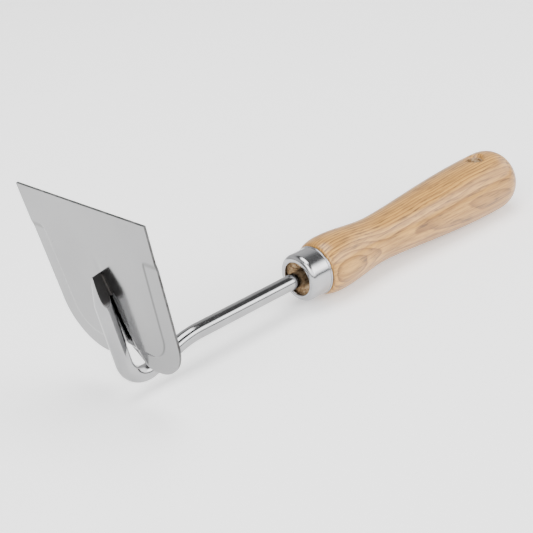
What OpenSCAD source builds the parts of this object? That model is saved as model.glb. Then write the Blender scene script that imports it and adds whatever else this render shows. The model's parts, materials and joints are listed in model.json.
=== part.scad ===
// Corner trowel: a pressed stainless blade welded to a cranked round neck,
// whose tang is driven through a ferrule into a turned wooden handle.
//
// The handle lies along X with its end towards +X. The blade stands at the -X
// end with its front edge up, leaning a little from square to the handle. The
// XZ plane is the plane of symmetry. The origin is the middle of the hanging
// hole, on the handle's axis.

/* [Blade] */
// Width of the straight front edge
blade_width = 80; // [70:1:90]
// Width across the blade where its rear corners begin to round
blade_rear_width = 72; // [64:0.2:80]
// Distance from the front edge to the rear edge
blade_length = 72.8; // [66:0.2:80]
// Thickness of the sheet
sheet = 1; // [0.8:0.1:1.5]
// Radius of the two rounded rear corners
corner_radius = 20.3; // [16:0.1:24]
// Angle by which the blade leans from square to the handle
blade_lean = 9.2; // [0:0.1:15]
// Distance by which the pressed border stands behind the panel
border_step = 0.4; // [0.3:0.1:1.2]
// Width of the border where it begins
border_front_width = 7.2; // [5:0.1:9]
// Width of the border round the rear corners
border_rear_width = 9; // [5:0.1:10]
// Distance from the front edge at which the border begins
border_start = 16; // [12:1:24]

/* [Notch and channel] */
// Half the width of the notch at the rear edge
notch_half_width = 11.6; // [10:0.1:13]
// Depth of the notch from the rear edge
notch_depth = 9.4; // [6:0.2:12]
// Distance from the front edge at which the channel for the neck begins
channel_start = 31; // [28:0.5:36]
// Depth of the channel at the bottom of the notch
channel_depth = 0.7; // [0.4:0.1:1.5]

/* [Neck] */
// Diameter of the round rod
rod_d = 7; // [6:0.5:8]
// Length of the leg that lies on the blade
leg_length = 40.8; // [36:0.2:48]
// Distance from the front edge to the tip of the leg
tip_setback = 30.6; // [26:0.2:34]
// Radius of the bend round the rear edge, on the rod's centre line
bend_radius = 10; // [8:0.5:14]
// Angle by which the rod drops from the handle's axis before the bend
crank_angle = 15.8; // [10:0.2:20]
// Length of the straight stretch that drops
crank_length = 15; // [10:0.1:20]
// Radius of the gentle bend between that stretch and the shank
crank_radius = 41; // [30:1:60]
// Length of the shank in front of the ferrule
shank_length = 56.2; // [50:0.2:70]
// Length of the tang inside the handle
tang_length = 63; // [40:1:80]
// Length of the pinched point at the end of the leg
pinch_length = 12.5; // [8:0.5:16]

/* [Ferrule] */
// Length of the ferrule
ferrule_length = 11.7; // [9:0.1:14]
// Outer radius of the ferrule
ferrule_radius = 10.8; // [10.7:0.1:11.2]
// Radius of the mouth that the neck comes out of
mouth_radius = 7.6; // [6.5:0.1:7.6]
// Thickness of the ferrule's wall
ferrule_wall = 1.2; // [0.8:0.1:1.2]

/* [Handle] */
// Distance from the ferrule's front to the rounded end of the handle
handle_end = 139.7; // [134:0.1:150]
// Radius of the swelling behind the ferrule
front_swell = 13; // [12.5:0.1:14]
// Radius of the waist
waist = 10.7; // [9.5:0.1:11.5]
// Radius of the swelling near the end
rear_swell = 14.7; // [13:0.1:15]
// Radius of the hanging hole
hole_radius = 4; // [3:0.1:4.5]
// Distance from the ferrule's front to the hanging hole
hole_place = 119.2; // [110:0.1:122]

/* [Hidden] */

rod_r = rod_d / 2;
round_steps = 48;

// The neck's centre line in the XZ plane, from the ferrule back to the blade.
// x is 0 at the ferrule's front and z is 0 on the handle's axis.
function way(angle) = [cos(angle), sin(angle)];
crank_centre = [-shank_length, -crank_radius];
crank_foot = crank_centre + crank_radius * way(90 + crank_angle);
bend_foot = crank_foot - crank_length * way(crank_angle);
bend_centre = bend_foot + bend_radius * way(90 + crank_angle);
leg_foot = bend_centre - bend_radius * way(blade_lean);
leg_tip = leg_foot + leg_length * way(90 + blade_lean);

// The middle of the blade's front edge, on the face that the leg lies on
blade_top = leg_tip + tip_setback * way(90 + blade_lean) + rod_r * way(blade_lean);

// ---- The blade's outline and relief, seen square to the blade. across is
// ---- measured from the symmetry plane, down from the front edge.

half_front = blade_width / 2;
half_rear = blade_rear_width / 2;
channel_half_width = 0.68 * notch_half_width;
corner_across = half_rear - corner_radius;
corner_down = blade_length - corner_radius;
notch_bottom = blade_length - notch_depth;
columns = 18;
rows = 28;
notch_columns = 6;
corner_columns = columns - notch_columns;
// The rounded corner ends where it meets the notch, at this angle past its lowest point
lip_angle = asin((corner_across - notch_half_width) / corner_radius);

function half_width(down) = half_front - (half_front - half_rear) * pow(min(down / corner_down, 1), 0.8);
function ramp(value, low, high) =
    let (t = max(0, min(1, (value - low) / (high - low)))) t * t * (3 - 2 * t);

// A point of the rear edge: column 0 is the notch's bottom, the last column is
// where the rounded corner meets the side
function rear_point(column) =
    column <= notch_columns
    ? let (t = column / notch_columns)
      [notch_half_width * t, notch_bottom + (lip_down() - notch_bottom) * t]
    : let (a = -lip_angle + (90 + lip_angle) * (column - notch_columns) / corner_columns)
      [corner_across + corner_radius * sin(a), corner_down + corner_radius * cos(a)];
function lip_down() = corner_down + corner_radius * cos(lip_angle);

// Distance in from the nearest side or rear edge
function inset(across, down) =
    down > corner_down && across > corner_across
    ? corner_radius - norm([across - corner_across, down - corner_down])
    : min(half_width(down) - across, blade_length - down);

// How far the sheet is set back from the flat panel: by the pressed border
// along the sides and round the rear corners, and by the channel that opens
// towards the notch under the neck
function border(across, down) =
    let (width = border_front_width + (border_rear_width - border_front_width) * down / blade_length)
    border_step * ramp(width - inset(across, down), 0, 1) * ramp(down, border_start, border_start + 4);

function channel(across, down) =
    let (
        reach = max(0.001, (down - channel_start) / (notch_bottom - channel_start)),
        half = channel_half_width * reach
    )
    down <= channel_start || across >= half ? 0 : channel_depth * pow(reach, 2) * (1 - pow(across / half, 2));

function relief(across, down) = border(across, down) + channel(across, down);

function blade_point(column, row, back) =
    let (
        side = column < 0 ? -1 : 1,
        foot = rear_point(abs(column)),
        head = [half_front * abs(column) / columns, 0],
        place = head + (foot - head) * row / rows
    )
    [relief(place[0], place[1]) + back, side * place[0], -place[1]];

module blade_frame() {
    translate([blade_top[0], 0, blade_top[1]])
        rotate([0, -blade_lean, 0])
            children();
}

module blade() {
    across_count = 2 * columns + 1;
    face_count = across_count * (rows + 1);
    points = [
        for (back = [0, sheet], row = [0:rows], column = [-columns:columns]) blade_point(column, row, back)
    ];
    function id(column, row, layer) = layer * face_count + row * across_count + column;
    last = across_count - 1;
    front_faces = [
        for (row = [0:rows - 1], column = [0:last - 1])
            [id(column, row, 0), id(column + 1, row, 0), id(column + 1, row + 1, 0), id(column, row + 1, 0)]
    ];
    back_faces = [
        for (row = [0:rows - 1], column = [0:last - 1])
            [id(column, row + 1, 1), id(column + 1, row + 1, 1), id(column + 1, row, 1), id(column, row, 1)]
    ];
    end_faces = [
        for (column = [0:last - 1], row = [0, rows])
            row == 0
            ? [id(column, row, 1), id(column + 1, row, 1), id(column + 1, row, 0), id(column, row, 0)]
            : [id(column, row, 0), id(column + 1, row, 0), id(column + 1, row, 1), id(column, row, 1)]
    ];
    side_faces = [
        for (row = [0:rows - 1], column = [0, last])
            column == 0
            ? [id(column, row, 0), id(column, row + 1, 0), id(column, row + 1, 1), id(column, row, 1)]
            : [id(column, row, 1), id(column, row + 1, 1), id(column, row + 1, 0), id(column, row, 0)]
    ];
    color("silver")
        blade_frame()
            polyhedron(points, concat(front_faces, back_faces, end_faces, side_faces), convexity = 6);
}

// ---- The neck: one round rod, swept along its centre line from the pinched
// ---- point to the end of the tang. Each station holds x, z, the direction in
// ---- which the outside of the bend faces, and the section's width and height.

pinch_half = 0.4;
pinch_height = 4.2;
pinch_reach = 1.7 * pinch_length;
edge_power = 4;
tip_crown = 0.2;
section_steps = 36;

function pinch(reach) =
    let (t = reach / pinch_length)
    [pinch_half + (rod_r - pinch_half) * t, min(pinch_height + (rod_d - pinch_height) * t, rod_d)];
function leg_station(reach) =
    concat(leg_tip - reach * way(90 + blade_lean), [180 + blade_lean], pinch(reach));
function plain_station(point, facing) = concat(point, [facing, 10 * rod_d, rod_d]);

stations = concat(
    [for (step = [0:8]) leg_station(pinch_reach * step / 8)],
    [for (a = [180 + blade_lean : (90 + crank_angle - blade_lean) / 14 : 270.01 + crank_angle])
        plain_station(bend_centre + bend_radius * way(a), a)],
    [for (step = [0:4]) let (a = 270 + crank_angle * (1 - step / 4))
        plain_station(crank_centre - crank_radius * way(a), a)],
    [plain_station([tang_length, 0], 270)]
);

// A point of a section: it is round, flattened where the sides are pinched,
// and lower towards the tip, with its foot always on the blade
function section_point(at, turn) =
    let (
        wide = rod_r * cos(turn),
        side = wide / pow(1 + pow(abs(wide) / at[3], edge_power), 1 / edge_power),
        out = (sin(turn) + 1) * at[4] / 2 - rod_r
    )
    [at[0] + out * cos(at[2]), side, at[1] + out * sin(at[2])];

module neck() {
    last = len(stations) - 1;
    ring = section_steps;
    tip_point = leg_tip + tip_crown * way(90 + blade_lean) + (rod_r - pinch_height / 2) * way(blade_lean);
    points = concat(
        [for (at = stations, step = [0:ring - 1]) section_point(at, 360 * step / ring)],
        [[tip_point[0], 0, tip_point[1]]]
    );
    sides = [
        for (row = [0:last - 1], step = [0:ring - 1])
            let (next = (step + 1) % ring)
            [row * ring + step, row * ring + next, (row + 1) * ring + next, (row + 1) * ring + step]
    ];
    tip_faces = [for (step = [0:ring - 1]) [(step + 1) % ring, step, len(points) - 1]];
    tang_face = [[for (step = [0:ring - 1]) last * ring + step]];
    color("lightsteelblue")
        polyhedron(points, concat(sides, tip_faces, tang_face), convexity = 6);
}

// Coordinates at the tip of the leg: x runs square to the blade towards the
// handle, and the leg lies below the origin
module leg_frame() {
    translate([leg_tip[0], 0, leg_tip[1]])
        rotate([0, -blade_lean, 0])
            children();
}

side_slope = atan((rod_r - pinch_half) / pinch_length);
cut_size = 4 * rod_d;

// ---- The weld: a fillet down each side of the pinched point

weld_radius = 0.7;
weld_length = 8;
weld_start = 1.2;
bead_steps = 16;

module weld_bead() {
    translate([rod_r - 0.05, pinch_half + 0.3, -weld_start])
        rotate([180 + side_slope, 0, 0]) {
            cylinder(r = weld_radius, h = weld_length, $fn = bead_steps);
            sphere(r = weld_radius, $fn = bead_steps);
            translate([0, 0, weld_length])
                sphere(r = weld_radius, $fn = bead_steps);
        }
}

module weld() {
    color("dimgray")
        difference() {
            leg_frame()
                for (side = [0, 1])
                    mirror([0, side, 0])
                        weld_bead();
            leg_frame()
                translate([rod_r, -cut_size / 2, -cut_size])
                    cube([cut_size, cut_size, 2 * cut_size]);
            neck();
        }
}

// ---- The ferrule: a drawn cap with a rounded front and a thin bead at the back

corner_r = 2.4;
bead_r = 0.35;
bead_place = ferrule_length - 1;

module ferrule() {
    inner_r = ferrule_radius - ferrule_wall;
    inner_corner = corner_r - ferrule_wall;
    outline = concat(
        [for (a = [0:15:180]) [mouth_radius + ferrule_wall / 2 * (1 - sin(a)), ferrule_wall / 2 * (1 + cos(a))]],
        [for (a = [0:10:90]) [ferrule_radius - corner_r * (1 - sin(a)), corner_r * (1 - cos(a))]],
        [for (a = [180:-20:0]) [ferrule_radius + bead_r * sin(a), bead_place + bead_r * cos(a)]],
        [[ferrule_radius, ferrule_length], [inner_r, ferrule_length]],
        [for (a = [90:-15:0]) [inner_r - inner_corner * (1 - sin(a)), ferrule_wall + inner_corner * (1 - cos(a))]]
    );
    color("gainsboro")
        rotate([0, 90, 0])
            rotate_extrude($fn = 96)
                polygon(outline);
}

// ---- The handle, turned from one piece of wood

spigot_radius = ferrule_radius - ferrule_wall;
face_place = ferrule_wall + 1.4;
spigot_corner = 1.4;
shoulder_radius = ferrule_radius + 0.2;
front_place = 19.6;
waist_place = 48.9;
rear_place = 124.1;
cap_power = 2.8;
swell_power = 0.77;
bore_flare = 1.7;
hole_flare = 1.7;

function blend(t) = (1 - cos(180 * t)) / 2;
function grip(x) =
    x < front_place
    ? shoulder_radius + (front_swell - shoulder_radius)
        * sqrt(1 - pow((front_place - x) / (front_place - ferrule_length), 2))
    : x < waist_place
    ? front_swell + (waist - front_swell) * blend((x - front_place) / (waist_place - front_place))
    : x < rear_place
    ? waist + (rear_swell - waist) * blend(pow((x - waist_place) / (rear_place - waist_place), swell_power))
    : rear_swell * sqrt(1 - pow((x - rear_place) / (handle_end - rear_place), cap_power));

module handle() {
    shoulder = [for (a = [0:15:75]) let (x = front_place - (front_place - ferrule_length) * cos(a)) [grip(x), x]];
    middle = [for (x = [front_place:3.25:rear_place]) [grip(x), x]];
    end_reach = handle_end - rear_place;
    cap = [for (a = [6:6:84]) let (x = rear_place + end_reach * sin(a)) [grip(x), x]];
    color("burlywood")
        difference() {
            rotate([0, 90, 0])
                rotate_extrude($fn = 96)
                    polygon(concat(
                        [[0, face_place], [spigot_radius - spigot_corner, face_place],
                         [spigot_radius, face_place + spigot_corner], [spigot_radius, ferrule_length]],
                        shoulder, middle, cap,
                        [[0, handle_end]]
                    ));
            // bore for the tang, flared where the rod was driven in
            rotate([0, 90, 0])
                cylinder(r = rod_r, h = tang_length, $fn = round_steps);
            translate([face_place, 0, 0])
                rotate([0, 90, 0])
                    cylinder(r1 = rod_r + bore_flare, r2 = rod_r, h = 3.2, $fn = round_steps);
            // hanging hole, eased at both mouths
            translate([hole_place, 0, 0]) {
                cylinder(r = hole_radius, h = 3 * rear_swell, center = true, $fn = round_steps);
                for (side = [0, 1])
                    mirror([0, 0, side])
                        translate([0, 0, rear_swell - hole_flare])
                            cylinder(r1 = hole_radius, r2 = hole_radius + 2 * hole_flare, h = 2 * hole_flare,
                                     $fn = round_steps);
            }
        }
}

// ---- The assembly

module placed() {
    translate([-hole_place, 0, 0])
        children();
}

placed() blade();
placed() neck();
placed() weld();
placed() ferrule();
placed() handle();
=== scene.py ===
import json
import math

import bmesh
import bpy
from mathutils import Matrix, Vector


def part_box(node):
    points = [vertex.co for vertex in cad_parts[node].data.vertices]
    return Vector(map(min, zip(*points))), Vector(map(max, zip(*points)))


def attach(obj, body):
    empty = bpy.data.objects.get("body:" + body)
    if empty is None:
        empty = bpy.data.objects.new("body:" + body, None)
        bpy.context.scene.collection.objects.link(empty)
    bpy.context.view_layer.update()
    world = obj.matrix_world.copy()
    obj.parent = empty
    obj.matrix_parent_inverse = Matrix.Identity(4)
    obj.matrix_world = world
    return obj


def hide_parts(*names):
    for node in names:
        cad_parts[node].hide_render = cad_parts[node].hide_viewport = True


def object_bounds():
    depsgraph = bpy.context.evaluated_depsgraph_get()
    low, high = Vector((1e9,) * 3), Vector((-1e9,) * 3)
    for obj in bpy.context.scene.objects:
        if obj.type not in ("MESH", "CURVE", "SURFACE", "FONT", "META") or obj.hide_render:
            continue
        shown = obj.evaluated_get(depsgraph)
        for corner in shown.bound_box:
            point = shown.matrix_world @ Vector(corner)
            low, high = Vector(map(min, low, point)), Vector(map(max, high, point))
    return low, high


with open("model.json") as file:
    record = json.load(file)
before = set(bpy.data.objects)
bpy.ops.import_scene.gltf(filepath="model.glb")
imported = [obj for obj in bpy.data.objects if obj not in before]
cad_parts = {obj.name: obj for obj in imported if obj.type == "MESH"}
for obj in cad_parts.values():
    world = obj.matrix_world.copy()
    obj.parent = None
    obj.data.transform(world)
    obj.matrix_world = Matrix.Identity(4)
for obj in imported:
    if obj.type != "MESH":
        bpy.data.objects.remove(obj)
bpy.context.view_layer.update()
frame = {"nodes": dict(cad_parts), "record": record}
record = frame["record"]

MM = 0.001

# ---------------------------------------------------------------- sizes, in mm

# blade
BLADE_WIDTH = 80.0
BLADE_REAR_WIDTH = 72.0
BLADE_LENGTH = 72.8
SHEET = 1.0
CORNER_RADIUS = 20.3
BLADE_LEAN = math.radians(9.2)
BORDER_STEP = 0.4
BORDER_FRONT_WIDTH = 7.2
BORDER_REAR_WIDTH = 9.0
BORDER_START = 16.0
NOTCH_HALF_WIDTH = 11.6
NOTCH_DEPTH = 9.4
CHANNEL_START = 31.0
CHANNEL_DEPTH = 0.7
CHANNEL_LIP = 0.10
BORDER_HOOK = 3.0
BORDER_RUN_IN = 4.0
TIP_STREAK = 0.12
BLADE_EASING = 0.1

# neck
ROD_RADIUS = 3.5
LEG_LENGTH = 40.8
TIP_SETBACK = 30.6
BEND_RADIUS = 10.0
CRANK_ANGLE = math.radians(15.8)
CRANK_LENGTH = 15.0
CRANK_RADIUS = 41.0
SHANK_LENGTH = 56.2
TANG_LENGTH = 63.0
PINCH_LENGTH = 12.5
PINCH_HALF = 0.4
PINCH_HEIGHT = 4.2
PINCH_SHARPNESS = 12
PINCH_REACH = 2.4 * PINCH_LENGTH
SCORCH_PRESS = 0.12
SCORCH_FADE = (9, 14)

# ferrule
FERRULE_RADIUS = 10.8
MOUTH_RADIUS = 7.6
FERRULE_WALL = 1.2
FERRULE_CORNER = 2.4
BEAD_RADIUS = 0.35
BEAD_SETBACK = 1.0
REAR_EASING = 0.12

# handle
SWELL_FRONT = 13.0
WAIST = 10.7
SWELL_REAR = 14.7
FRONT_PLACE = 19.6
WAIST_PLACE = 48.9
REAR_PLACE = 124.1
CAP_POWER = 2.8
SWELL_POWER = 0.77
SHOULDER_RADIUS = FERRULE_RADIUS + 0.2
SPIGOT_RADIUS = FERRULE_RADIUS - FERRULE_WALL
SPIGOT_CORNER = 1.4
FACE_PLACE = FERRULE_WALL + 1.4
BORE_FLARE = 1.7
BORE_FLARE_LENGTH = 3.2
HOLE_RADIUS = record["mounts"][0]["dims"]["r_mm"]
HOLE_FLARE = 1.7
GRIP_PITCH = 1.5

hole_centre = Vector(record["mounts"][0]["pos_m"]) / MM
ferrule_low, ferrule_high = (Vector(corner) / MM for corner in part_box("ferrule"))
handle_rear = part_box("handle")[1][0] / MM
FERRULE_FRONT = ferrule_low.x
FERRULE_LENGTH = ferrule_high.x - ferrule_low.x
HANDLE_END = handle_rear - FERRULE_FRONT


# ---------------------------------------------------------------- small helpers


def clamp01(value):
    return max(0.0, min(1.0, value))


def ramp(value, low, high):
    t = clamp01((value - low) / (high - low))
    return t * t * (3 - 2 * t)


def way(angle):
    return Vector((math.cos(angle), math.sin(angle)))


def mesh_object(name, points, faces, edges=()):
    mesh = bpy.data.meshes.new(name)
    mesh.from_pydata([tuple(p) for p in points], list(edges), faces)
    mesh.validate()
    mesh.update()
    piece = bpy.data.objects.new(name, mesh)
    bpy.context.scene.collection.objects.link(piece)
    return piece


def finish_mesh(piece, merge=0.00001, smooth_angle=35):
    """Merges doubles, turns the faces outwards and shades the piece smooth with sharp edges kept."""
    bm = bmesh.new()
    bm.from_mesh(piece.data)
    bmesh.ops.remove_doubles(bm, verts=bm.verts, dist=merge)
    bmesh.ops.recalc_face_normals(bm, faces=bm.faces)
    limit = math.radians(smooth_angle)
    for edge in bm.edges:
        edge.smooth = len(edge.link_faces) != 2 or edge.calc_face_angle(0) < limit
    for face in bm.faces:
        face.smooth = True
    bm.to_mesh(piece.data)
    bm.free()
    piece.data.update()


def baked(piece):
    """The piece with its modifiers turned into a plain mesh."""
    bpy.context.view_layer.update()
    graph = bpy.context.evaluated_depsgraph_get()
    mesh = bpy.data.meshes.new_from_object(piece.evaluated_get(graph))
    name = piece.name
    piece.modifiers.clear()
    old = piece.data
    piece.data = mesh
    mesh.name = name
    if old.users == 0:
        bpy.data.meshes.remove(old)
    return piece


# ---------------------------------------------------------------- node helpers


class Nodes:
    """Short ways to write a material's nodes."""

    def __init__(self, name):
        self.material = bpy.data.materials.new(name)
        self.material.use_nodes = True
        self.tree = self.material.node_tree
        self.shader = self.tree.nodes["Principled BSDF"]

    def add(self, kind, **settings):
        node = self.tree.nodes.new(kind)
        for key, value in settings.items():
            setattr(node, key, value)
        return node

    def link(self, source, target):
        self.tree.links.new(source, target)

    def put(self, target, value):
        if hasattr(value, "is_output"):
            self.link(value, target)
        else:
            target.default_value = value

    def place(self, scale=(1, 1, 1), turn=(0, 0, 0)):
        coordinates = self.add("ShaderNodeTexCoord")
        mapping = self.add("ShaderNodeMapping")
        self.link(coordinates.outputs["Object"], mapping.inputs["Vector"])
        mapping.inputs["Scale"].default_value = scale
        mapping.inputs["Rotation"].default_value = turn
        return mapping.outputs["Vector"]

    def noise(self, vector, scale, detail=3.0, rough=0.5, distortion=0.0):
        node = self.add("ShaderNodeTexNoise")
        self.link(vector, node.inputs["Vector"])
        node.inputs["Scale"].default_value = scale
        node.inputs["Detail"].default_value = detail
        node.inputs["Roughness"].default_value = rough
        node.inputs["Distortion"].default_value = distortion
        return node.outputs["Fac"]

    def math(self, operation, a, b=0.0):
        node = self.add("ShaderNodeMath", operation=operation)
        for socket, value in zip(node.inputs, (a, b)):
            self.put(socket, value)
        return node.outputs[0]

    def span(self, value, low, high, to_low=0.0, to_high=1.0):
        node = self.add("ShaderNodeMapRange")
        self.put(node.inputs["Value"], value)
        for key, number in (("From Min", low), ("From Max", high), ("To Min", to_low), ("To Max", to_high)):
            node.inputs[key].default_value = number
        return node.outputs["Result"]

    def colours(self, factor, *stops):
        node = self.add("ShaderNodeValToRGB")
        self.put(node.inputs["Fac"], factor)
        band = node.color_ramp
        while len(band.elements) < len(stops):
            band.elements.new(0.5)
        for element, (place, colour) in zip(band.elements, stops):
            element.position = place
            element.color = (*colour, 1)
        return node.outputs["Color"]

    def mix(self, factor, a, b):
        node = self.add("ShaderNodeMix", data_type="RGBA")
        self.put(node.inputs[0], factor)
        for socket, value in ((node.inputs[6], a), (node.inputs[7], b)):
            self.put(socket, value if hasattr(value, "is_output") else (*value, 1))
        return node.outputs[2]

    def bump(self, height, strength, distance, normal=None):
        node = self.add("ShaderNodeBump")
        self.link(height, node.inputs["Height"])
        node.inputs["Strength"].default_value = strength
        node.inputs["Distance"].default_value = distance
        if normal is not None:
            self.link(normal, node.inputs["Normal"])
        return node.outputs["Normal"]

    def set(self, **values):
        for key, value in values.items():
            self.put(self.shader.inputs[key.replace("_", " ")], value)


# ---------------------------------------------------------------- materials


def rolled_sheet_steel():
    n = Nodes("rolled sheet steel")
    mill = n.noise(n.place((1, 14, 1.0), (0, BLADE_LEAN, 0)), 420, 4, 0.6)
    cloud = n.noise(n.place(), 26, 3, 0.5)
    wave = n.noise(n.place(), 45, 2, 0.5)
    specks = n.span(n.noise(n.place(), 700, 2, 0.5), 0.735, 0.77)
    # painted shade: the border's pressed step is darkened where the sheet bends down, standing in for the dark
    # reflection along the step
    step_shade = n.add("ShaderNodeAttribute", attribute_name="step_shade").outputs["Fac"]
    shade = n.colours(cloud, (0.35, (0.255, 0.255, 0.257)), (0.65, (0.285, 0.285, 0.287)))
    shade = n.mix(n.math("MULTIPLY", step_shade, 0.8), shade, (0.10, 0.10, 0.10))
    shade = n.mix(n.math("MULTIPLY", specks, 0.5), shade, (0.10, 0.095, 0.09))
    rough = n.math("ADD", n.span(mill, 0.3, 0.7, 0.09, 0.14), n.span(cloud, 0.3, 0.7, -0.02, 0.02))
    grain = n.bump(mill, 0.12, 0.00002)
    n.set(Base_Color=shade, Metallic=1.0, Roughness=rough, Normal=n.bump(wave, 0.30, 0.00006, grain))
    return n.material


def sheared_edge_steel():
    n = Nodes("sheared edge steel")
    tear = n.noise(n.place(), 1400, 3, 0.6)
    burr = n.noise(n.place(), 260, 2, 0.5)
    n.set(
        Base_Color=n.colours(
            burr, (0.35, (0.045, 0.044, 0.043)), (0.62, (0.11, 0.11, 0.11)), (0.75, (0.30, 0.30, 0.30))
        ),
        Metallic=0.9,
        Roughness=n.span(tear, 0.3, 0.7, 0.28, 0.5),
        Normal=n.bump(tear, 0.4, 0.00005),
    )
    return n.material


def drawn_rod_steel():
    n = Nodes("drawn rod steel")
    along = n.noise(n.place((0.6, 6, 6)), 500, 3, 0.6)
    cloud = n.noise(n.place(), 90, 3, 0.5)
    heat = n.add("ShaderNodeAttribute", attribute_name="scorch").outputs["Fac"]
    burnt = n.span(n.math("ADD", heat, n.span(cloud, 0.3, 0.7, -0.12, 0.12)), 0.35, 0.75)
    bright = n.colours(cloud, (0.3, (0.30, 0.30, 0.305)), (0.7, (0.35, 0.35, 0.355)))
    tint = n.colours(
        heat,
        (0.0, (0.40, 0.40, 0.41)),
        (0.3, (0.22, 0.20, 0.18)),
        (0.6, (0.035, 0.031, 0.030)),
        (1.0, (0.014, 0.013, 0.013)),
    )
    n.set(
        Base_Color=n.mix(burnt, bright, tint),
        Metallic=n.span(burnt, 0, 1, 1.0, 0.55),
        Roughness=n.math("ADD", n.span(along, 0.3, 0.7, 0.10, 0.17), n.span(burnt, 0, 1, 0, 0.28)),
        Normal=n.bump(along, 0.15, 0.00002),
    )
    return n.material


def weld_metal():
    n = Nodes("weld metal")
    lumps = n.noise(n.place(), 1500, 4, 0.6)
    n.set(
        Base_Color=n.colours(
            lumps, (0.3, (0.010, 0.009, 0.009)), (0.6, (0.03, 0.027, 0.025)), (0.8, (0.10, 0.095, 0.09))
        ),
        Metallic=0.75,
        Roughness=n.span(lumps, 0.3, 0.7, 0.3, 0.55),
        Normal=n.bump(lumps, 0.6, 0.0002),
    )
    return n.material


def ferrule_chrome():
    n = Nodes("ferrule chrome")
    turned = n.noise(n.place((22, 1, 1)), 260, 3, 0.6)
    cloud = n.noise(n.place(), 120, 3, 0.5)
    n.set(
        Base_Color=n.colours(cloud, (0.3, (0.36, 0.36, 0.37)), (0.7, (0.42, 0.42, 0.43))),
        Metallic=1.0,
        Roughness=n.span(turned, 0.3, 0.7, 0.15, 0.21),
        Normal=n.bump(turned, 0.12, 0.00002),
    )
    return n.material


def lacquered_wood():
    n = Nodes("lacquered wood")
    # flat growth layers that stand across the handle, bent a little by slow noise
    slow = n.noise(n.place((14, 45, 45)), 1.0, 2, 0.5)
    waver = n.noise(n.place((60, 260, 260)), 1.0, 2, 0.5)
    split = n.add("ShaderNodeSeparateXYZ")
    n.link(n.place((1, 1, 1), (math.radians(-4), 0, math.radians(0.8))), split.inputs[0])
    depth = n.math("ADD", split.outputs["Y"], n.span(slow, 0, 1, -0.0022, 0.0022))
    depth = n.math("ADD", depth, n.span(waver, 0, 1, -0.0004, 0.0004))
    phase = n.math("FRACT", n.math("MULTIPLY", depth, 720.0))
    late = n.math("MULTIPLY", n.math("POWER", phase, 2.0), n.span(phase, 0.9, 1.0, 1.0, 0.0))
    fibre = n.noise(n.place((30, 900, 900)), 1.0, 4, 0.65)
    pores = n.noise(n.place((110, 1500, 1500)), 1.0, 2, 0.5)
    tone = n.noise(n.place((12, 45, 45)), 1.0, 2, 0.5)
    base = n.mix(late, (0.53, 0.272, 0.048), (0.125, 0.044, 0.006))
    base = n.mix(n.span(tone, 0.35, 0.7, 0.0, 0.45), base, (0.34, 0.155, 0.022))
    base = n.mix(n.span(fibre, 0.4, 0.7, 0.0, 0.75), base, (0.18, 0.074, 0.011))
    streaks = n.math("MULTIPLY", n.span(pores, 0.52, 0.66, 0.0, 0.8), n.span(late, 0.0, 0.4, 0.4, 1.0))
    base = n.mix(streaks, base, (0.085, 0.036, 0.008))
    surface = n.bump(n.math("SUBTRACT", fibre, n.math("MULTIPLY", late, 0.6)), 0.35, 0.00010)
    n.set(
        Base_Color=base,
        Roughness=n.span(fibre, 0.3, 0.7, 0.36, 0.50),
        Normal=surface,
        Coat_Weight=0.35,
        Coat_Roughness=0.16,
        Coat_Normal=n.bump(n.math("ADD", fibre, late), 0.22, 0.00008),
    )
    return n.material


def bare_end_grain():
    n = Nodes("bare end grain")
    chips = n.noise(n.place((400, 620, 620)), 1.0, 4, 0.7, 0.6)
    fibre = n.noise(n.place((80, 1500, 1500)), 1.0, 3, 0.6)
    base = n.colours(
        chips, (0.34, (0.09, 0.05, 0.024)), (0.46, (0.34, 0.215, 0.11)), (0.62, (0.55, 0.40, 0.24))
    )
    base = n.mix(n.span(fibre, 0.4, 0.7, 0.0, 0.45), base, (0.09, 0.048, 0.02))
    n.set(Base_Color=base, Roughness=0.85, Specular_IOR_Level=0.2, Normal=n.bump(chips, 0.8, 0.0006))
    return n.material


def pale_floor():
    n = Nodes("pale floor")
    n.set(Base_Color=(0.93, 0.93, 0.93, 1), Roughness=0.9, Specular_IOR_Level=0.1)
    n.set(Emission_Color=(1, 1, 1, 1), Emission_Strength=0.4)
    return n.material


# ---------------------------------------------------------------- the neck's centre line

crank_centre = Vector((-SHANK_LENGTH, -CRANK_RADIUS))
crank_foot = crank_centre + CRANK_RADIUS * way(math.pi / 2 + CRANK_ANGLE)
bend_foot = crank_foot - CRANK_LENGTH * way(CRANK_ANGLE)
bend_centre = bend_foot + BEND_RADIUS * way(math.pi / 2 + CRANK_ANGLE)
leg_foot = bend_centre - BEND_RADIUS * way(BLADE_LEAN)
leg_up = way(math.pi / 2 + BLADE_LEAN)
leg_in = way(BLADE_LEAN)
leg_tip = leg_foot + LEG_LENGTH * leg_up
blade_top = leg_tip + TIP_SETBACK * leg_up + ROD_RADIUS * leg_in


def placed(x, y, z):
    """A point given from the ferrule's front, in mm, as a place in the frame, in metres."""
    return Vector((x + FERRULE_FRONT, y, z)) * MM


# ---------------------------------------------------------------- blade

HALF_FRONT = BLADE_WIDTH / 2
HALF_REAR = BLADE_REAR_WIDTH / 2
CORNER_ACROSS = HALF_REAR - CORNER_RADIUS
CORNER_DOWN = BLADE_LENGTH - CORNER_RADIUS
NOTCH_BOTTOM = BLADE_LENGTH - NOTCH_DEPTH
CHANNEL_HALF_WIDTH = 0.68 * NOTCH_HALF_WIDTH
LIP_ANGLE = math.asin((CORNER_ACROSS - NOTCH_HALF_WIDTH) / CORNER_RADIUS)
LIP_DOWN = CORNER_DOWN + CORNER_RADIUS * math.cos(LIP_ANGLE)
NOTCH_SHARE = 0.3


def half_width(down):
    return HALF_FRONT - (HALF_FRONT - HALF_REAR) * clamp01(down / CORNER_DOWN) ** 0.8


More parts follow.
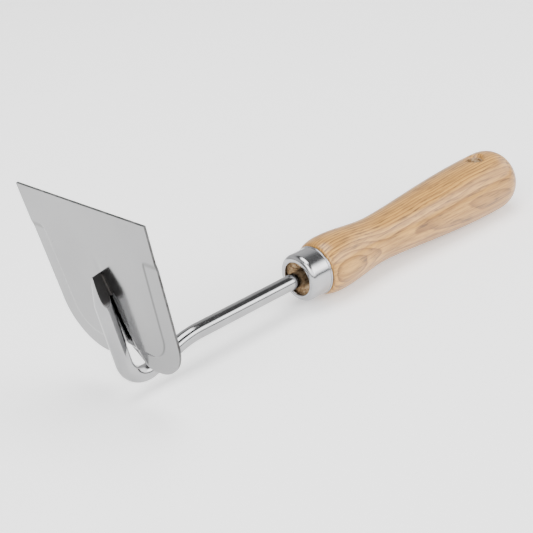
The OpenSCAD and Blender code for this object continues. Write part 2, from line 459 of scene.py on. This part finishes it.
def rear_point(share):
    """A point of the rear edge, from 0 at the notch's bottom to 1 at the side."""
    if share <= NOTCH_SHARE:
        t = share / NOTCH_SHARE
        return NOTCH_HALF_WIDTH * t, NOTCH_BOTTOM + (LIP_DOWN - NOTCH_BOTTOM) * t
    t = (share - NOTCH_SHARE) / (1 - NOTCH_SHARE)
    a = -LIP_ANGLE + (math.pi / 2 + LIP_ANGLE) * t
    return CORNER_ACROSS + CORNER_RADIUS * math.sin(a), CORNER_DOWN + CORNER_RADIUS * math.cos(a)


def inset(across, down):
    if down > CORNER_DOWN and across > CORNER_ACROSS:
        return CORNER_RADIUS - math.hypot(across - CORNER_ACROSS, down - CORNER_DOWN)
    return min(half_width(down) - across, BLADE_LENGTH - down)


def border(across, down):
    width = BORDER_FRONT_WIDTH + (BORDER_REAR_WIDTH - BORDER_FRONT_WIDTH) * down / BLADE_LENGTH
    reach = width - inset(across, down)
    ahead = down - BORDER_START
    if ahead <= 0:
        return 0.0
    # the border's front end is a round hook
    if ahead < BORDER_HOOK and reach < BORDER_HOOK:
        reach = BORDER_HOOK - math.hypot(BORDER_HOOK - reach, BORDER_HOOK - ahead)
    return BORDER_STEP * ramp(reach, 0, 1) * ramp(ahead, 0, BORDER_RUN_IN)


def channel_reach(down):
    """How far along the channel a place is, from 0 where it begins to 1 at the notch's bottom."""
    return (down - CHANNEL_START) / (NOTCH_BOTTOM - CHANNEL_START)


def channel(across, down):
    reach = channel_reach(down)
    if reach <= 0:
        return 0.0
    half = CHANNEL_HALF_WIDTH * reach
    if across >= half:
        return 0.0
    return CHANNEL_DEPTH * reach**2 * (1 - (across / half) ** 2)


def ridge(distance, width):
    return math.exp(-((distance / width) ** 2))


def relief(across, down):
    """How far the sheet is set back: by the border, the channel and a shallow streak above the neck's
    point, less a small lip along the channel's edge."""
    streak = TIP_STREAK * ridge(across, 1.6) * ramp(down, 20, 29) * (1 - ramp(down, 31, 36))
    reach = channel_reach(down)
    lip = CHANNEL_LIP * ridge(across - CHANNEL_HALF_WIDTH * reach, 0.45) * ramp(reach, 0.1, 0.4)
    return border(across, down) + channel(across, down) + streak - lip


def blade_place(out, across, down):
    point = blade_top + out * leg_in - down * leg_up
    return placed(point.x, across, point.y)


def make_blade():
    columns, rows = 110, 170
    count = 2 * columns + 1
    points, faces, step_shades = [], [], []
    for back in (0.0, SHEET):
        for row in range(rows + 1):
            t = row / rows
            for column in range(-columns, columns + 1):
                share = abs(column) / columns
                side = -1 if column < 0 else 1
                foot = rear_point(share)
                across = HALF_FRONT * share * (1 - t) + foot[0] * t
                down = foot[1] * t
                points.append(blade_place(relief(across, down) + back, side * across, down))
                # weight of the painted shade on the border's step, highest halfway down the bend
                height = border(across, down) / BORDER_STEP
                step_shades.append(4 * height * (1 - height))
    layer = count * (rows + 1)
    for row in range(rows):
        for column in range(count - 1):
            a = row * count + column
            faces.append((a, a + 1, a + count + 1, a + count))
            faces.append((layer + a, layer + a + count, layer + a + count + 1, layer + a + 1))
    rim = list(range(count))
    rim += [row * count + count - 1 for row in range(1, rows + 1)]
    rim += [rows * count + column for column in range(count - 2, -1, -1)]
    rim += [row * count for row in range(rows - 1, 0, -1)]
    for a, b in zip(rim, rim[1:] + rim[:1]):
        faces.append((a, layer + a, layer + b, b))
    piece = mesh_object("blade_sheet", points, faces)
    step_shade_layer = piece.data.attributes.new("step_shade", "FLOAT", "POINT")
    step_shade_layer.data.foreach_set("value", step_shades)
    piece.data.materials.append(rolled_sheet_steel())
    piece.data.materials.append(sheared_edge_steel())
    for face in piece.data.polygons:
        face.material_index = 1 if face.index >= 2 * rows * (count - 1) else 0
    finish_mesh(piece, merge=0.000001)
    edge = piece.modifiers.new("eased edges", "BEVEL")
    edge.width = BLADE_EASING * MM
    edge.segments = 2
    edge.limit_method = "ANGLE"
    edge.angle_limit = math.radians(60)
    baked(piece)
    finish_mesh(piece, merge=0.000001, smooth_angle=40)
    return piece


# ---------------------------------------------------------------- swept and turned pieces


def geometry_tree(name):
    tree = bpy.data.node_groups.new(name, "GeometryNodeTree")
    tree.interface.new_socket("Geometry", in_out="INPUT", socket_type="NodeSocketGeometry")
    tree.interface.new_socket("Geometry", in_out="OUTPUT", socket_type="NodeSocketGeometry")
    return tree, tree.nodes.new("NodeGroupInput"), tree.nodes.new("NodeGroupOutput")


def rod_along_path_tree():
    """Sweeps a round section of a given radius along the points of a path."""
    tree, start, end = geometry_tree("rod along path")
    tree.interface.new_socket("Radius", in_out="INPUT", socket_type="NodeSocketFloat")
    tree.interface.new_socket("Sides", in_out="INPUT", socket_type="NodeSocketInt")
    tree.interface.new_socket("Material", in_out="INPUT", socket_type="NodeSocketMaterial")
    path = tree.nodes.new("GeometryNodeMeshToCurve")
    section = tree.nodes.new("GeometryNodeCurvePrimitiveCircle")
    sweep = tree.nodes.new("GeometryNodeCurveToMesh")
    solid = tree.nodes.new("GeometryNodeRealizeInstances")
    paint = tree.nodes.new("GeometryNodeSetMaterial")
    link = tree.links.new
    link(start.outputs["Geometry"], path.inputs["Mesh"])
    link(start.outputs["Radius"], section.inputs["Radius"])
    link(start.outputs["Sides"], section.inputs["Resolution"])
    link(path.outputs["Curve"], sweep.inputs["Curve"])
    link(section.outputs["Curve"], sweep.inputs["Profile Curve"])
    sweep.inputs["Fill Caps"].default_value = True
    link(sweep.outputs["Mesh"], solid.inputs["Geometry"])
    link(solid.outputs["Geometry"], paint.inputs["Geometry"])
    link(start.outputs["Material"], paint.inputs["Material"])
    link(paint.outputs["Geometry"], end.inputs["Geometry"])
    return tree


def turned_tree():
    """Turns an outline about the X axis: its points hold the place along the axis in x, the radius in y."""
    tree, start, end = geometry_tree("turned outline")
    tree.interface.new_socket("Steps", in_out="INPUT", socket_type="NodeSocketInt")
    tree.interface.new_socket("Outline Points", in_out="INPUT", socket_type="NodeSocketInt")
    tree.interface.new_socket("Material", in_out="INPUT", socket_type="NodeSocketMaterial")
    link = tree.links.new
    grid = tree.nodes.new("GeometryNodeMeshGrid")
    link(start.outputs["Steps"], grid.inputs["Vertices X"])
    link(start.outputs["Outline Points"], grid.inputs["Vertices Y"])
    index = tree.nodes.new("GeometryNodeInputIndex")

    def math_node(operation, a, b=None):
        node = tree.nodes.new("ShaderNodeMath")
        node.operation = operation
        for socket, value in zip(node.inputs, (a, b)):
            if value is None:
                continue
            if hasattr(value, "is_output"):
                link(value, socket)
            else:
                socket.default_value = value
        return node.outputs[0]

    along = math_node("MODULO", index.outputs[0], start.outputs["Outline Points"])
    middle = math_node("ADD", index.outputs[0], 0.5)
    round_step = math_node("FLOOR", math_node("DIVIDE", middle, start.outputs["Outline Points"]))
    angle = math_node(
        "MULTIPLY",
        math_node("DIVIDE", round_step, math_node("SUBTRACT", start.outputs["Steps"], 1.0)),
        2 * math.pi,
    )
    sample = tree.nodes.new("GeometryNodeSampleIndex")
    sample.data_type = "FLOAT_VECTOR"
    position = tree.nodes.new("GeometryNodeInputPosition")
    link(start.outputs["Geometry"], sample.inputs["Geometry"])
    link(position.outputs[0], sample.inputs["Value"])
    link(along, sample.inputs["Index"])
    parts = tree.nodes.new("ShaderNodeSeparateXYZ")
    link(sample.outputs["Value"], parts.inputs[0])
    joined = tree.nodes.new("ShaderNodeCombineXYZ")
    link(parts.outputs["X"], joined.inputs["X"])
    link(math_node("MULTIPLY", parts.outputs["Y"], math_node("COSINE", angle)), joined.inputs["Y"])
    link(math_node("MULTIPLY", parts.outputs["Y"], math_node("SINE", angle)), joined.inputs["Z"])
    move = tree.nodes.new("GeometryNodeSetPosition")
    link(grid.outputs["Mesh"], move.inputs["Geometry"])
    link(joined.outputs[0], move.inputs["Position"])
    solid = tree.nodes.new("GeometryNodeRealizeInstances")
    paint = tree.nodes.new("GeometryNodeSetMaterial")
    link(move.outputs["Geometry"], solid.inputs["Geometry"])
    link(solid.outputs["Geometry"], paint.inputs["Geometry"])
    link(start.outputs["Material"], paint.inputs["Material"])
    link(paint.outputs["Geometry"], end.inputs["Geometry"])
    return tree


def with_tree(piece, tree, **values):
    modifier = piece.modifiers.new(tree.name, "NODES")
    modifier.node_group = tree
    for item in tree.interface.items_tree:
        if item.in_out == "INPUT" and item.name in values:
            modifier[item.identifier] = values[item.name]
    return baked(piece)


def turned(name, outline, steps, material):
    """A piece turned about the handle's axis from (x from the ferrule's front, radius) points in mm."""
    points = [Vector((x + FERRULE_FRONT, radius, 0)) * MM for x, radius in outline]
    edges = [(i, i + 1) for i in range(len(points) - 1)]
    piece = mesh_object(name, points, [], edges)
    with_tree(piece, TURNED, **{"Steps": steps + 1, "Outline Points": len(points), "Material": material})
    finish_mesh(piece)
    return piece


def soft_limit(value, limit, power):
    return value / (1 + abs(value / limit) ** power) ** (1 / power)


def neck_path():
    """The rod's centre line from the point on the blade to the end of the tang, in mm, as (x, z)."""
    leg_steps, bend_steps, rise_steps, crank_steps, shank_steps = 70, 47, 5, 16, 8
    bend_start = math.pi + BLADE_LEAN
    bend_turn = math.pi / 2 + CRANK_ANGLE - BLADE_LEAN
    path = [leg_tip - leg_up * LEG_LENGTH * step / leg_steps for step in range(leg_steps)]
    for step in range(bend_steps + 1):
        path.append(bend_centre + BEND_RADIUS * way(bend_start + bend_turn * step / bend_steps))
    for step in range(1, rise_steps):
        path.append(bend_foot + (crank_foot - bend_foot) * step / rise_steps)
    for step in range(crank_steps + 1):
        angle = math.pi / 2 + CRANK_ANGLE * (1 - step / crank_steps)
        path.append(crank_centre + CRANK_RADIUS * way(angle))
    for step in range(1, shank_steps + 1):
        path.append(Vector((-SHANK_LENGTH + (SHANK_LENGTH + TANG_LENGTH) * step / shank_steps, 0)))
    return path


def make_neck():
    points = [placed(p.x, 0, p.y) for p in neck_path()]
    edges = [(i, i + 1) for i in range(len(points) - 1)]
    piece = mesh_object("neck_rod", points, [], edges)
    material = drawn_rod_steel()
    with_tree(piece, rod_along_path_tree(), **{"Radius": ROD_RADIUS * MM, "Sides": 64, "Material": material})
    # the point is pinched: two flats on the sides, and a back that slopes down
    tip = placed(leg_tip.x, 0, leg_tip.y)
    up = Vector((leg_up.x, 0, leg_up.y))
    inward = Vector((leg_in.x, 0, leg_in.y))
    mesh = piece.data
    scorch = mesh.attributes.new("scorch", "FLOAT", "POINT")
    for vertex in mesh.vertices:
        offset = (vertex.co - tip) / MM
        reach = -offset.dot(up)
        out = offset.dot(inward)
        on_leg = reach <= PINCH_REACH and abs(out) <= 1.05 * ROD_RADIUS
        if not on_leg:
            continue
        across = offset.y
        t = max(reach, 0) / PINCH_LENGTH
        limit = PINCH_HALF + (ROD_RADIUS - PINCH_HALF) * t
        height = min(PINCH_HEIGHT + (2 * ROD_RADIUS - PINCH_HEIGHT) * t, 2 * ROD_RADIUS)
        pinched = soft_limit(across, limit, PINCH_SHARPNESS)
        raised = ROD_RADIUS - (ROD_RADIUS - out) * height / (2 * ROD_RADIUS)
        pressed = abs(across) - abs(pinched)
        scorch.data[vertex.index].value = clamp01(pressed / SCORCH_PRESS) * (1 - 0.5 * ramp(reach, *SCORCH_FADE))
        vertex.co = tip + (inward * raised - up * reach) * MM + Vector((0, pinched * MM, 0))
    finish_mesh(piece, merge=0.000002, smooth_angle=30)
    return piece


# ---------------------------------------------------------------- ferrule and handle

def arc(centre, radius, first, last, steps):
    """Points (x, radius) on an arc between two angles in degrees."""
    points = []
    for step in range(steps + 1):
        a = math.radians(first + (last - first) * step / steps)
        points.append((centre[0] + radius * math.cos(a), centre[1] + radius * math.sin(a)))
    return points


def make_ferrule():
    inner = FERRULE_RADIUS - FERRULE_WALL
    inner_corner = FERRULE_CORNER - FERRULE_WALL
    lip = FERRULE_WALL / 2
    bead_x = FERRULE_LENGTH - BEAD_SETBACK
    outline = arc((lip, MOUTH_RADIUS + lip), lip, 0, -180, 16)
    outline += arc((FERRULE_CORNER, FERRULE_RADIUS - FERRULE_CORNER), FERRULE_CORNER, 180, 90, 20)
    outline += [(x, FERRULE_RADIUS) for x in (4.0, 6.0, 8.0)]
    outline += arc((bead_x, FERRULE_RADIUS), BEAD_RADIUS, 180, 0, 14)
    outline += [(FERRULE_LENGTH - REAR_EASING, FERRULE_RADIUS), (FERRULE_LENGTH, FERRULE_RADIUS - REAR_EASING)]
    outline.append((FERRULE_LENGTH, inner))
    outline += arc((FERRULE_CORNER, inner - inner_corner), inner_corner, 90, 180, 10)
    outline.append(outline[0])
    return turned("ferrule_cap", outline, 160, ferrule_chrome())


def swing(t):
    return (1 - math.cos(math.pi * t)) / 2


def grip(x):
    if x < FRONT_PLACE:
        share = (FRONT_PLACE - x) / (FRONT_PLACE - FERRULE_LENGTH)
        return SHOULDER_RADIUS + (SWELL_FRONT - SHOULDER_RADIUS) * math.sqrt(max(0, 1 - share**2))
    if x < WAIST_PLACE:
        return SWELL_FRONT + (WAIST - SWELL_FRONT) * swing((x - FRONT_PLACE) / (WAIST_PLACE - FRONT_PLACE))
    if x < REAR_PLACE:
        share = (x - WAIST_PLACE) / (REAR_PLACE - WAIST_PLACE)
        return WAIST + (SWELL_REAR - WAIST) * swing(share**SWELL_POWER)
    return SWELL_REAR * math.sqrt(max(0, 1 - ((x - REAR_PLACE) / (HANDLE_END - REAR_PLACE)) ** CAP_POWER))


def make_hole_cutter():
    """The solid that is cut out for the hanging hole: a round bar that widens at both of the hole's mouths."""
    ring = 96
    profile = [(-SWELL_REAR - 3, HOLE_RADIUS + 4.5), (-SWELL_REAR + 0.2, HOLE_RADIUS + 1.45)]
    profile += [(-SWELL_REAR + 0.9, HOLE_RADIUS + 0.7), (-SWELL_REAR + HOLE_FLARE, HOLE_RADIUS + 0.12)]
    profile.append((-SWELL_REAR + 2.4, HOLE_RADIUS))
    profile += [(-z, r) for z, r in reversed(profile)]
    points, faces = [], []
    for z, r in profile:
        for step in range(ring):
            a = 2 * math.pi * step / ring
            points.append((hole_centre + Vector((r * math.cos(a), r * math.sin(a), z))) * MM)
    for row in range(len(profile) - 1):
        low, high = row * ring, (row + 1) * ring
        for step in range(ring):
            following = (step + 1) % ring
            faces.append((low + step, low + following, high + following, high + step))
    faces.append(tuple(range(ring - 1, -1, -1)))
    faces.append(tuple((len(profile) - 1) * ring + step for step in range(ring)))
    return mesh_object("hole_cutter", points, faces)


def make_handle():
    # the flared mouth of the tang's bore, then the spigot's face and its round edge
    outline = [(FACE_PLACE + 6, 0), (FACE_PLACE + 6, ROD_RADIUS + 0.02)]
    outline += [(FACE_PLACE + BORE_FLARE_LENGTH, ROD_RADIUS + 0.05), (FACE_PLACE + 0.4, ROD_RADIUS + 1.2)]
    outline += [(FACE_PLACE, ROD_RADIUS + BORE_FLARE), (FACE_PLACE, 6.2)]
    outline.append((FACE_PLACE, SPIGOT_RADIUS - SPIGOT_CORNER))
    outline += arc((FACE_PLACE + SPIGOT_CORNER, SPIGOT_RADIUS - SPIGOT_CORNER), SPIGOT_CORNER, 180, 90, 6)
    outline += [(FERRULE_LENGTH, SPIGOT_RADIUS), (FERRULE_LENGTH, SHOULDER_RADIUS - 0.3)]
    steps = 16
    for step in range(steps):
        a = math.pi / 2 * step / steps
        x = FRONT_PLACE - (FRONT_PLACE - FERRULE_LENGTH) * math.cos(a)
        outline.append((x, grip(x)))
    for step in range(math.ceil((REAR_PLACE - FRONT_PLACE) / GRIP_PITCH)):
        x = FRONT_PLACE + GRIP_PITCH * step
        outline.append((x, grip(x)))
    steps = 36
    for step in range(steps + 1):
        a = math.pi / 2 * step / steps
        x = REAR_PLACE + (HANDLE_END - REAR_PLACE) * math.sin(a)
        outline.append((x, grip(x) if step < steps else 0))
    wood = lacquered_wood()
    piece = turned("handle_wood", outline, 160, wood)
    cutter = make_hole_cutter()
    drill = piece.modifiers.new("hanging hole", "BOOLEAN")
    drill.object = cutter
    drill.operation = "DIFFERENCE"
    drill.solver = "EXACT"
    baked(piece)
    bpy.data.objects.remove(cutter)
    finish_mesh(piece, merge=0.000001, smooth_angle=30)
    # bare wood inside the ferrule and in the hole
    piece.data.materials.clear()
    piece.data.materials.append(wood)
    piece.data.materials.append(bare_end_grain())
    for face in piece.data.polygons:
        centre = face.center / MM
        in_ferrule = centre.x - FERRULE_FRONT < FERRULE_LENGTH - 0.01
        in_hole = (centre.xy - hole_centre.xy).length < HOLE_RADIUS + 0.3
        face.material_index = 1 if in_ferrule or in_hole else 0
    return piece


# ---------------------------------------------------------------- assembly

TURNED = turned_tree()

blade = make_blade()
neck = make_neck()
ferrule = make_ferrule()
handle = make_handle()

frame["nodes"]["weld"].data.materials.clear()
frame["nodes"]["weld"].data.materials.append(weld_metal())

for piece, node, slot in (
    (blade, "blade", "blade_steel"),
    (neck, "neck", "neck_steel"),
    (ferrule, "ferrule", "ferrule_chrome"),
    (handle, "handle", "handle_wood"),
):
    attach(piece, "root")
    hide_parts(node)


# ---------------------------------------------------------------- studio

floor_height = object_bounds()[0][2]


def make_floor():
    size = 6.0
    corners = ((-size, -size), (size, -size), (size, size), (-size, size))
    points = [(x, y, floor_height) for x, y in corners]
    floor = mesh_object("studio_floor", points, [(0, 1, 2, 3)])
    floor.data.materials.append(pale_floor())


def soft_light(name, place, aim, size, power):
    data = bpy.data.lights.new(name, "AREA")
    data.shape = "RECTANGLE"
    data.size, data.size_y = size
    data.energy = power
    lamp = bpy.data.objects.new(name, data)
    lamp.location = place
    lamp.rotation_euler = (Vector(aim) - Vector(place)).to_track_quat("-Z", "Y").to_euler()
    bpy.context.scene.collection.objects.link(lamp)


def make_world():
    world = bpy.data.worlds.new("studio")
    bpy.context.scene.world = world
    world.use_nodes = True
    tree = world.node_tree
    background = tree.nodes["Background"]
    coordinates = tree.nodes.new("ShaderNodeTexCoord")
    split = tree.nodes.new("ShaderNodeSeparateXYZ")
    tree.links.new(coordinates.outputs["Generated"], split.inputs[0])

    def heights(*stops):
        band = tree.nodes.new("ShaderNodeValToRGB")
        tree.links.new(split.outputs["Z"], band.inputs["Fac"])
        while len(band.color_ramp.elements) < len(stops):
            band.color_ramp.elements.new(0.5)
        for element, (place, value) in zip(band.color_ramp.elements, stops):
            element.position = place
            element.color = (value, value, value, 1)
        return band.outputs["Color"]

    # a long soft box in front, a dark gap overhead and a grey wall behind
    front = heights((0.0, 0.02), (0.13, 0.02), (0.19, 1.0), (0.56, 1.0), (0.70, 0.03), (1.0, 0.03))
    behind = heights((0.0, 0.17), (0.40, 0.26), (0.70, 0.20), (0.80, 0.03), (1.0, 0.03))
    side = tree.nodes.new("ShaderNodeMapRange")
    tree.links.new(split.outputs["Y"], side.inputs["Value"])
    side.inputs["From Min"].default_value = -0.1
    side.inputs["From Max"].default_value = 0.3
    blend = tree.nodes.new("ShaderNodeMix")
    blend.data_type = "RGBA"
    tree.links.new(side.outputs["Result"], blend.inputs[0])
    tree.links.new(front, blend.inputs[6])
    tree.links.new(behind, blend.inputs[7])
    tree.links.new(blend.outputs[2], background.inputs["Color"])
    background.inputs["Strength"].default_value = 4.2


def make_camera():
    right = Vector((0.72644, -0.67676, -0.11954))
    up = Vector((0.36603, 0.23379, 0.90076))
    forward = Vector((0.58165, 0.69810, -0.41755))
    data = bpy.data.cameras.new("camera")
    data.lens = 100.8
    data.sensor_width = 36.0
    data.clip_start = 0.01
    camera = bpy.data.objects.new("camera", data)
    turn = Matrix((right, up, -forward)).transposed().to_4x4()
    camera.matrix_world = Matrix.Translation(Vector((-0.49933, -0.43731, 0.27411))) @ turn
    bpy.context.scene.collection.objects.link(camera)
    bpy.context.scene.camera = camera


make_floor()
make_world()
make_camera()
soft_light("overhead", (-0.1, 0.0, 1.3), (-0.1, 0, 0), (1.1, 0.9), 22)
soft_light("key", (-1.1, -0.5, 1.0), (-0.1, 0, 0), (0.8, 0.8), 11)
soft_light("fill", (0.5, -1.2, 0.8), (-0.1, 0, 0), (0.9, 0.7), 6)
